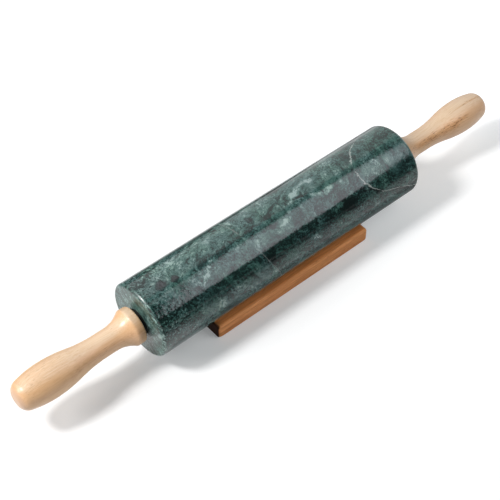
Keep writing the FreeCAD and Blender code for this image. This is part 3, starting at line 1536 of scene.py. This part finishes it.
@dataclass
class Handles:
    """The two turned wooden handles with their washers."""

    face_radius: float = 14.3 * MM
    ridge_radius: float = 14.7 * MM
    collar_width: float = 6.6 * MM
    flare_length: float = 15.4 * MM
    neck_radius: float = 9.2 * MM
    neck_length: float = 9.0 * MM
    swell_length: float = 44.0 * MM
    grip_radius: float = 13.9 * MM
    end_radius: float = 10.1 * MM
    crown: float = 1.6 * MM
    end_round: float = 9.0 * MM
    ridge_round: float = 3.4 * MM
    face_round: float = 1.4 * MM
    hole_radius: float = 6.0 * MM
    hole_depth: float = 18.0 * MM
    washer_round: float = 0.25 * MM
    washer_play: float = 0.2 * MM
    collar_steps: int = 4
    flare_steps: int = 24
    swell_steps: int = 14
    taper_steps: int = 22
    crown_steps: int = 8
    end_round_steps: int = 12
    ridge_round_steps: int = 10
    face_round_steps: int = 6
    washer_round_steps: int = 3
    steps: int = 144
    washer_steps: int = 96

    def __post_init__(self) -> None:
        """Reads the handle's, the washer's and the axle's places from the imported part."""
        low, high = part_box("right_handle")
        self.face = low.x
        self.length = high.x - low.x
        self.axis_height = (high.z + low.z) / 2
        self.washer_low, self.washer_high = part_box("right_washer")
        axle_low, axle_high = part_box("axle_rod")
        self.axle_radius = (axle_high.z - axle_low.z) / 2

    def build(self, wood: Material, steel: Material) -> None:
        """Makes the right-hand handle and washer, copies them to the left and dresses all four.

        Args:
            wood: the handles' material.
            steel: the washers' material.
        """
        grip = self.wood()
        grips = {End.RIGHT: grip, End.LEFT: Workbench.turned_copy(grip, "handle_left_wood")}
        washer = self.washer()
        washers = {End.RIGHT: washer, End.LEFT: Workbench.turned_copy(washer, "washer_left_steel")}
        for end in End:
            dress(grips[end], wood)
            seat(grips[end], Body.SPINDLE, f"{end.word}_handle")
            dress(washers[end], steel)
            seat(washers[end], Body.SPINDLE, f"{end.word}_washer")

    def outline(self) -> list[Pair]:
        """Draws collar, flare, neck, swell, taper and crown, and rounds their corners.

        Returns:
            Points (x from the face, radius), from the face to the tip.
        """
        neck_start = self.collar_width + self.flare_length
        neck_end = neck_start + self.neck_length
        grip = neck_end + self.swell_length
        rim = self.length - self.crown
        middle = ((neck_end + grip) / 2, (self.neck_radius + self.grip_radius) / 2)
        ridge = (self.collar_width, self.ridge_radius)
        flare = level_arc((neck_start, self.neck_radius), ridge, self.flare_steps)
        rise = level_arc((neck_end, self.neck_radius), middle, self.swell_steps)
        swell = level_arc((grip, self.grip_radius), middle, self.swell_steps)
        taper = level_arc((grip, self.grip_radius), (rim, self.end_radius), self.taper_steps)
        crown = level_arc((0.0, self.length), (self.end_radius, rim), self.crown_steps)
        points = [(0.0, self.face_radius - self.face_round * 2), (0.0, self.face_radius)]
        corner_face = len(points) - 1
        for index in range(1, self.collar_steps):
            share = index / self.collar_steps
            radius = self.face_radius + (self.ridge_radius - self.face_radius) * share
            points.append((self.collar_width * share, radius))
        corner_ridge = len(points)
        points += flare[::-1]
        points += rise[:-1]
        points += swell[::-1]
        points += taper[1:]
        corner_end = len(points) - 1
        points += [(x, radius) for radius, x in crown[::-1]][1:]
        points = soften(points, corner_end, self.end_round, self.end_round_steps)
        points = soften(points, corner_ridge, self.ridge_round, self.ridge_round_steps)
        return soften(points, corner_face, self.face_round, self.face_round_steps)

    def wood(self) -> Piece:
        """Turns the handle, with the hole for its insert in its face.

        Returns:
            The right-hand handle.
        """
        hole = [(self.hole_depth, 0.0), (self.hole_depth, self.hole_radius), (0.0, self.hole_radius)]
        outline = [(self.face + x, radius) for x, radius in hole + self.outline()]
        return Workbench.turn("handle_right_wood", outline, self.axis_height, self.steps)

    def washer(self) -> Piece:
        """Turns the washer, with softened edges.

        Returns:
            The right-hand washer.
        """
        inner_face = self.washer_low.x
        outer_face = self.washer_high.x
        outer = (self.washer_high.z - self.washer_low.z) / 2
        inner = self.axle_radius + self.washer_play
        corners = [
            Vector((inner_face, inner)),
            Vector((inner_face, outer)),
            Vector((outer_face, outer)),
            Vector((outer_face, inner)),
        ]
        outline = []
        for index, corner in enumerate(corners):
            after = corners[(index + 1) % len(corners)]
            outline += round_corner(
                corners[index - 1], corner, after, self.washer_round, self.washer_round_steps
            )
        outline.append(outline[0])
        return Workbench.turn("washer_right_steel", outline, self.axis_height, self.washer_steps)


@dataclass
class Cradle:
    """The wooden rest: a block with a round trough, its edges softened."""

    floor_under_barrel: float = 7.0 * MM
    trough_radius: float = 30.3 * MM
    top_round: float = 1.8 * MM
    lip_round: float = 1.4 * MM
    end_round: float = 4.2 * MM
    side_round: float = 1.6 * MM
    foot_chamfer: float = 0.9 * MM
    trough_half_steps: int = 20
    top_steps: int = 8
    lip_steps: int = 6
    end_steps: int = 8

    def __post_init__(self) -> None:
        """Reads the block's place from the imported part."""
        low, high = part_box("cradle")
        self.half_length = (high.x - low.x) / 2
        self.half_width = (high.y - low.y) / 2
        self.height = high.z
        self.axis_height = self.floor_under_barrel + self.trough_radius

    def build(self, wood: Material) -> None:
        """Makes and dresses the rest.

        Args:
            wood: its material.
        """
        block = self.block()
        dress(block, wood)
        seat(block, Body.CRADLE, "cradle")

    def section(self) -> list[Vector]:
        """Draws the block's section: foot, sides, rounded lips and trough.

        Returns:
            Points (y, z), once round.
        """
        drop = self.axis_height - self.height
        lip = math.sqrt(self.trough_radius**2 - drop**2)
        angle = math.atan2(lip, drop)
        corner = Vector((lip, self.height))
        slope = Vector((-math.cos(angle), -math.sin(angle)))
        side = Vector((self.half_width, self.height))
        foot = Vector((self.half_width, 0))
        lip_arc = round_corner(side, corner, corner + slope, self.lip_round, self.lip_steps)
        start = lip_arc[-1]
        start_angle = math.atan2(start.x, self.axis_height - start.y)
        trough = []
        for index in range(1, self.trough_half_steps):
            turn = start_angle * (1 - index / self.trough_half_steps)
            height = self.axis_height - self.trough_radius * math.cos(turn)
            trough.append(Vector((self.trough_radius * math.sin(turn), height)))
        right = [
            Vector((self.half_width - self.foot_chamfer, 0)),
            Vector((self.half_width, self.foot_chamfer)),
            *round_corner(foot, side, corner, self.top_round, self.top_steps),
            *lip_arc,
            *trough,
        ]
        bottom = Vector((0, self.floor_under_barrel))
        left = [Vector((-point.x, point.y)) for point in reversed(right)]
        return right + [bottom] + left

    def stations(self) -> list[Vector]:
        """Marks where the section stands along X, smaller round both ends.

        Returns:
            Places along X, each with the shares of the section's width and height.
        """
        right = []
        for index in range(self.end_steps + 1):
            angle = math.pi / 2 * index / self.end_steps
            drop = 1 - math.cos(angle)
            along = self.half_length - self.end_round * (1 - math.sin(angle))
            wide = 1 - self.side_round * drop / self.half_width
            right.append(Vector((along, wide, 1 - self.end_round * drop / self.height)))
        return [Vector((-place.x, place.y, place.z)) for place in reversed(right)] + right

    def block(self) -> Piece:
        """Draws the section, fills it and extrudes it along the rest, growing and shrinking at the ends.

        Returns:
            The rest.
        """
        first, *others = self.stations()
        ring = [Vector((first.x, point.x * first.y, point.y * first.z)) for point in self.section()]
        piece = Workbench.start_point("rest_wood", ring[0])
        Workbench.draw(ring)
        bpy.ops.mesh.select_all(action="SELECT")
        bpy.ops.mesh.edge_face_add()
        last = first
        for station in others:
            bpy.ops.mesh.extrude_region_move(TRANSFORM_OT_translate={"value": (station.x - last.x, 0, 0)})
            share = (1.0, station.y / last.y, station.z / last.z)
            bpy.ops.transform.resize(value=share, center_override=(0, 0, 0))
            last = station
        Workbench.close_mesh()
        Workbench.smooth(piece)
        return piece


@dataclass
class Spindle:
    """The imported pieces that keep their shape: the axle and the two threaded inserts."""

    axle: str = "axle_rod"
    inserts: tuple[str, str] = ("left_insert", "right_insert")

    def build(self, steel: Material, brass: Material) -> None:
        """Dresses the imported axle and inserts.

        Args:
            steel: the axle's material.
            brass: the inserts' material.
        """
        dress(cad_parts[self.axle], steel)
        for insert in self.inserts:
            dress(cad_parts[insert], brass)
        for name in (self.axle, *self.inserts):
            LOG.info("%s: packed piece dressed", name)


@dataclass(frozen=True)
class Lamp:
    """A soft lamp that faces the barrel; its direction is counted from the barrel's middle."""

    name: str
    direction: Triple
    distance: float
    size: Pair
    radiance: float
    colour: Triple
    mirrored: bool = True


@dataclass(frozen=True)
class Card:
    """A dark or bright card that only reflections see; its centre is counted from the barrel's middle.

    Its edges fade over the given shares of its half width and half height. A taper narrows it past a
    share of its half width, and a lean slants its top and bottom.
    """

    name: str
    centre: Triple
    facing: Triple
    size: Pair
    share: float
    fade: Pair
    glow: Triple = (0.0, 0.0, 0.0)
    roll: float = 0.0
    taper: float = 0.0
    taper_start: float = 1.0
    lean: float = 0.0


@dataclass
class Studio:
    """Floor, world, lamps, cards and camera."""

    middle: Vector
    floor_size: float = 60.0
    floor_colour: Triple = (0.74, 0.745, 0.755)
    # The floor's glow for what is seen rises from the first to the second level along X: painted light
    # that lightens the shadow towards the right.
    floor_lift: Pair = (0.215, 0.46)
    lift_colour: Triple = (0.965, 0.99, 1.0)
    lift_range: Pair = (-0.05, 0.27)
    far_range: Pair = (0.33, 0.90)
    ambient: float = 0.08
    white: Triple = (1.0, 1.0, 1.0)
    lens: float = 82.98
    sensor: float = 36.0
    clip: Pair = (0.05, 100.0)
    camera_turn: float = -40.30
    camera_lift: float = 48.55
    camera_roll: float = -0.30
    camera_distance: float = 0.8717
    camera_shift: Pair = (-0.01766, -0.01143)

    def build(self) -> None:
        """Sets up everything round the object."""
        self.floor()
        self.world()
        for lamp in LAMPS:
            self.lamp(lamp)
        for card in CARDS:
            self.card(card)
        self.camera()
        bpy.context.scene.view_settings.view_transform = "Standard"
        LOG.info("studio: floor, world, %d lamps, %d cards and camera", len(LAMPS), len(CARDS))

    @staticmethod
    def seen(desk: Desk) -> Socket:
        """Picks out the rays that end in the picture.

        Args:
            desk: where the nodes go.

        Returns:
            One for rays from the camera and for those that a mirror or glass sends on.
        """
        path = desk.node("ShaderNodeLightPath").outputs
        direct = desk.math("MAXIMUM", path["Is Camera Ray"], path["Is Glossy Ray"])
        return desk.math("MAXIMUM", direct, path["Is Transmission Ray"])

    def floor(self) -> None:
        """Lays a wide pale floor that keeps the shadow and shows white where it is lit. Its glow rises
        along X, which paints light into the shadow towards the right.
        """
        plane = Workbench.plane("studio_floor", self.floor_size)
        material = bpy.data.materials.new("studio_floor")
        desk = Desk.cleared(material)
        paper = desk.node("ShaderNodeBsdfDiffuse")
        desk.feed(paper.inputs["Color"], self.floor_colour)
        lift = desk.node("ShaderNodeEmission")
        desk.feed(lift.inputs["Color"], self.lift_colour)
        spot = desk.node("ShaderNodeTexCoord").outputs["Object"]
        # Painted light: the glow grows along X and lightens the shadow on the right.
        level = desk.step(desk.sides(spot)["X"], *self.lift_range, *self.floor_lift)
        far = desk.step(desk.vector("LENGTH", spot), *self.far_range)
        direct = desk.node("ShaderNodeLightPath").outputs["Is Camera Ray"]
        level = desk.math("MULTIPLY", self.seen(desk), level)
        level = desk.math("ADD", level, desk.math("MULTIPLY", direct, far))
        desk.feed(lift.inputs["Strength"], level)
        both = desk.node("ShaderNodeAddShader")
        desk.feed(both.inputs[0], paper.outputs[0])
        desk.feed(both.inputs[1], lift.outputs[0])
        desk.feed(desk.node("ShaderNodeOutputMaterial").inputs["Surface"], both.outputs[0])
        plane.data.materials.append(material)

    def world(self) -> None:
        """Sets a white surround for what is seen, and a low even light for the rest."""
        world = bpy.data.worlds.new("studio_world")
        bpy.context.scene.world = world
        desk = Desk.cleared(world)
        ground = desk.node("ShaderNodeBackground")
        desk.feed(ground.inputs["Color"], self.white)
        level = desk.node("ShaderNodeMapRange")
        desk.feed(level.inputs["Value"], self.seen(desk))
        level.inputs["To Min"].default_value = self.ambient
        level.inputs["To Max"].default_value = 1.0
        desk.feed(ground.inputs["Strength"], level.outputs[0])
        desk.feed(desk.node("ShaderNodeOutputWorld").inputs["Surface"], ground.outputs[0])

    @staticmethod
    def axes_of(facing: Vector) -> Matrix:
        """Faces a flat thing in a direction and keeps its width level along X.

        Args:
            facing: the direction.

        Returns:
            The turn.
        """
        unit = facing.normalized()
        across = (Vector((1, 0, 0)) - unit * unit.x).normalized()
        return Matrix((across, unit.cross(across), unit)).transposed().to_4x4()

    def lamp(self, lamp: Lamp) -> None:
        """Hangs one soft lamp that faces the barrel.

        Args:
            lamp: its place, size and light.
        """
        width, height = lamp.size
        light = bpy.data.lights.new(lamp.name, "AREA")
        light.shape = "ELLIPSE"
        light.size = width
        light.size_y = height
        light.color = lamp.colour
        area = math.pi / 4 * width * height
        light.energy = math.pi * area * lamp.radiance
        hung = bpy.data.objects.new(light.name, light)
        bpy.context.scene.collection.objects.link(hung)
        direction = Vector(lamp.direction)
        place = self.middle + direction.normalized() * lamp.distance
        hung.matrix_world = Matrix.Translation(place) @ self.axes_of(direction)
        hung.visible_camera = False
        hung.visible_glossy = lamp.mirrored

    def card(self, card: Card) -> None:
        """Hangs one card with soft edges.

        Args:
            card: its place, size and face.
        """
        flag = Workbench.plane(card.name, 1.0)
        turn = self.axes_of(Vector(card.facing)) @ Matrix.Rotation(math.radians(card.roll), 4, "Z")
        scale = Matrix.Diagonal((*card.size, 1.0, 1.0))
        flag.matrix_world = Matrix.Translation(self.middle + Vector(card.centre)) @ turn @ scale
        flag.data.materials.append(self.card_face(card))
        flag.visible_camera = False
        flag.visible_diffuse = False
        flag.visible_transmission = False
        flag.visible_shadow = False

    @staticmethod
    def card_face(card: Card) -> Material:
        """Paints the face of a card, which is one unit wide and high before it is scaled.

        Args:
            card: its glow, fades, taper and lean.

        Returns:
            The material, clear outside the card's soft edges.
        """
        material = bpy.data.materials.new(card.name)
        desk = Desk.cleared(material)
        sides = desk.sides(desk.node("ShaderNodeTexCoord").outputs["Object"])
        level = desk.math("SUBTRACT", sides["Y"], desk.math("MULTIPLY", sides["X"], card.lean))
        across = desk.math("MULTIPLY", desk.math("ABSOLUTE", sides["X"]), 2.0)
        upward = desk.math("MULTIPLY", desk.math("ABSOLUTE", level), 2.0 / (1.0 - card.lean))
        if card.taper:
            past = desk.math("MAXIMUM", desk.math("SUBTRACT", across, card.taper_start), 0.0)
            upward = desk.math("ADD", upward, desk.math("MULTIPLY", past, card.taper))
        share: Feed = card.share
        for outward, fade in zip((across, upward), card.fade):
            share = desk.math("MULTIPLY", share, desk.step(outward, 1.0, 1.0 - fade))
        face = desk.node("ShaderNodeEmission")
        desk.feed(face.inputs["Color"], card.glow)
        both = desk.node("ShaderNodeMixShader")
        desk.feed(both.inputs[0], share)
        desk.feed(both.inputs[1], desk.node("ShaderNodeBsdfTransparent").outputs[0])
        desk.feed(both.inputs[2], face.outputs[0])
        desk.feed(desk.node("ShaderNodeOutputMaterial").inputs["Surface"], both.outputs[0])
        return material

    def camera(self) -> None:
        """Sets the camera at the photograph's viewing angle."""
        data = bpy.data.cameras.new("camera")
        data.lens = self.lens
        data.sensor_width = self.sensor
        data.clip_start, data.clip_end = self.clip
        camera = bpy.data.objects.new("camera", data)
        bpy.context.scene.collection.objects.link(camera)
        turn = math.radians(self.camera_turn)
        lift = math.radians(self.camera_lift)
        back = Vector((math.sin(turn) * math.cos(lift), -math.cos(turn) * math.cos(lift), math.sin(lift)))
        right = Vector((math.cos(turn), math.sin(turn), 0.0))
        upward = back.cross(right)
        place = self.middle + back * self.camera_distance
        place += right * self.camera_shift[0] + upward * self.camera_shift[1]
        roll = Matrix.Rotation(math.radians(self.camera_roll), 3, back)
        axes = Matrix((roll @ right, roll @ upward, back)).transposed()
        camera.matrix_world = Matrix.Translation(place) @ axes.to_4x4()
        bpy.context.scene.camera = camera


HANDLE_WOOD = LacqueredWood(
    name="pale_handle_wood",
    early=(0.690, 0.434, 0.232),
    late=(0.640, 0.384, 0.198),
    pore=(0.42, 0.22, 0.10),
    fleck=(0.22, 0.10, 0.04),
    blush=(0.705, 0.436, 0.266),
    streak=(0.54, 0.275, 0.115),
    # Painted highlight: the handles' tops are mixed towards this paler colour.
    pale=(0.722, 0.572, 0.418),
    end_grain=(0.52, 0.330, 0.215),
    # Darker than the handles' own end grain: painted shade on the tips, which face the lamps from the
    # left.
    pith=(0.0, 22.0, -48.0),
    ring_width=3.4,
    wander=7.0,
    ring_depth=0.40,
    fibre_depth=0.30,
    pore_depth=0.45,
    pale_depth=0.8,
    end_depth=0.8,
    roughness=0.42,
    gloss=0.4,
    coat=0.4,
    coat_roughness=0.24,
    marks=(
        Zone(165.0, 60.0, 34.0, 4.5, 2.0, 0.75),
        Zone(190.0, 50.0, 14.0, 3.0, 0.0, 0.80),
        Zone(215.0, 10.0, 16.0, 1.0, 0.0, 0.60),
        Zone(-160.0, 62.0, 40.0, 3.0, 0.0, 0.25),
        # Painted shade: a light brown tint over the top of the near grip towards its tip, which dims it.
        Zone(-214.0, -5.0, 26.0, 15.0, 0.0, 0.20),
    ),
)

CRADLE_WOOD = LacqueredWood(
    name="brown_rest_wood",
    early=(0.89, 0.400, 0.163),
    late=(0.70, 0.283, 0.104),
    pore=(0.24, 0.075, 0.022),
    fleck=(0.12, 0.040, 0.012),
    blush=(0.84, 0.385, 0.150),
    streak=(0.42, 0.140, 0.040),
    # Painted highlight: the rest's tops, with its lip in the barrel's shade, are mixed towards this
    # lighter, redder colour.
    pale=(0.88, 0.325, 0.105),
    # Near black: the end grain's own darkness plus painted shade under the barrel's overhang.
    end_grain=(0.035, 0.010, 0.003),
    pith=(0.0, 35.0, -70.0),
    ring_width=4.2,
    wander=8.0,
    ring_depth=0.60,
    fibre_depth=0.60,
    pore_depth=0.65,
    pale_depth=0.9,
    end_depth=1.0,
    roughness=0.50,
    gloss=0.1,
    coat=0.0,
    coat_roughness=0.30,
)

STEEL = TurnedMetal("turned_steel", colour=(0.62, 0.62, 0.60), dull=(0.42, 0.42, 0.41), roughness=0.28)
BRASS = TurnedMetal("turned_brass", colour=(0.78, 0.58, 0.27), dull=(0.55, 0.38, 0.16), roughness=0.30)
NYLON = MouldedNylon()

WARM = (1.0, 0.99, 0.975)
COOL = (0.98, 0.995, 1.0)
LAMPS = (
    Lamp("lamp_key", (-0.590, 0.215, 0.80), 1.2, (0.252, 0.252), 72.0, WARM),
    Lamp("lamp_left", (-0.80, 0.32, 0.50), 3.0, (1.20, 1.20), 14.0, WARM),
    Lamp("lamp_front", (0.47, -0.55, 0.69), 1.2, (0.66, 1.16), 2.75, COOL, mirrored=False),
)

# The cards on the floor lie just above it, and those that overlap others lie a little higher.
FLOOR = -0.0368
ABOVE = FLOOR + 0.0004
HIGHEST = FLOOR + 0.0008
UPWARDS = (0.0, 0.0, 1.0)
TOWARDS_FRONT = (0.0, -1.0, 0.0)
WINDOW = (0.49, -0.468, 0.747)
WALL = (0.62, 1.06, 0.77)
GAP = (0.48, -0.02, 1.0)
CARDS = (
    Card("card_front", (0.560, -0.6057, 0.8688), WINDOW, (0.62, 1.70), 1.0, (0.05, 0.34),
         glow=(2.18, 2.22, 2.36), taper=4.1, taper_start=0.68, lean=0.20),
    Card("card_frame", (0.600, -0.660, 0.900), WINDOW, (0.78, 1.79), 1.0, (0.2, 0.2), lean=0.24),
    Card("card_wall", WALL, WALL, (1.2, 2.0), 1.0, (0.2, 0.3), glow=(0.94, 1.0, 0.985)),
    Card("card_gap", GAP, GAP, (0.90, 0.13), 0.9, (0.15, 0.6), roll=24.0),
    Card("card_low", (0.45, -0.80, 0.225), (0.45, -0.80, 0.21), (0.90, 0.50), 1.0, (0.2, 0.12),
         glow=(0.06, 0.075, 0.075), roll=1.5),
    Card("card_side", (0.03, -0.62, 0.72), (0.12, -0.62, 0.72), (0.40, 0.90), 1.0, (0.1, 0.2)),
    Card("card_overhead", (0.475, 0.10, 0.92), (0.475, 0.11, 0.92), (0.80, 0.26), 1.0, (0.2, 0.5),
         glow=(0.30, 0.41, 0.41), roll=24.0),
    Card("card_floor_far", (0.25, -0.62, FLOOR), UPWARDS, (2.4, 1.08), 0.92, (0.2, 0.5)),
    Card("card_floor_edge", (0.035, -0.036, HIGHEST), UPWARDS, (0.25, 0.058), 0.64, (0.12, 0.6)),
    Card("card_floor_near", (0.07, -0.15, ABOVE), UPWARDS, (0.32, 0.22), 0.36, (0.15, 0.40)),
    Card("card_back", (-0.17, 0.295, FLOOR), UPWARDS, (0.68, 0.42), 0.85, (0.12, 0.35)),
    Card("card_back_stand", (-0.22, 0.32, -0.0275), TOWARDS_FRONT, (0.72, 0.205), 0.9, (0.28, 0.3)),
    Card("card_back_right", (0.30, 0.10, ABOVE), UPWARDS, (0.52, 0.14), 0.62, (0.6, 0.5)),
)


def main() -> None:
    """Builds every sub-assembly in order, then the studio."""
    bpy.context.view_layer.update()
    effects = {
        "vein": vein_effect(),
        "zone": zone_effect(),
        "figure": figure_effect(),
        "handling": handling_effect(),
    }
    barrel = Barrel()
    middle = Vector((0, 0, barrel.axis_height))
    steel = STEEL.make(middle, effects)
    marble = PolishedMarble(barrel.radius / MM, barrel.half_length / MM, barrel.rim_round / MM)
    barrel.build(marble.make(middle, effects), NYLON.make(middle, effects))
    Handles().build(HANDLE_WOOD.make(middle, effects), steel)
    Spindle().build(steel, BRASS.make(middle, effects))
    Cradle().build(CRADLE_WOOD.make(Vector((0, 0, 0)), effects))
    Studio(middle).build()


if __name__ == "__main__":
    main()
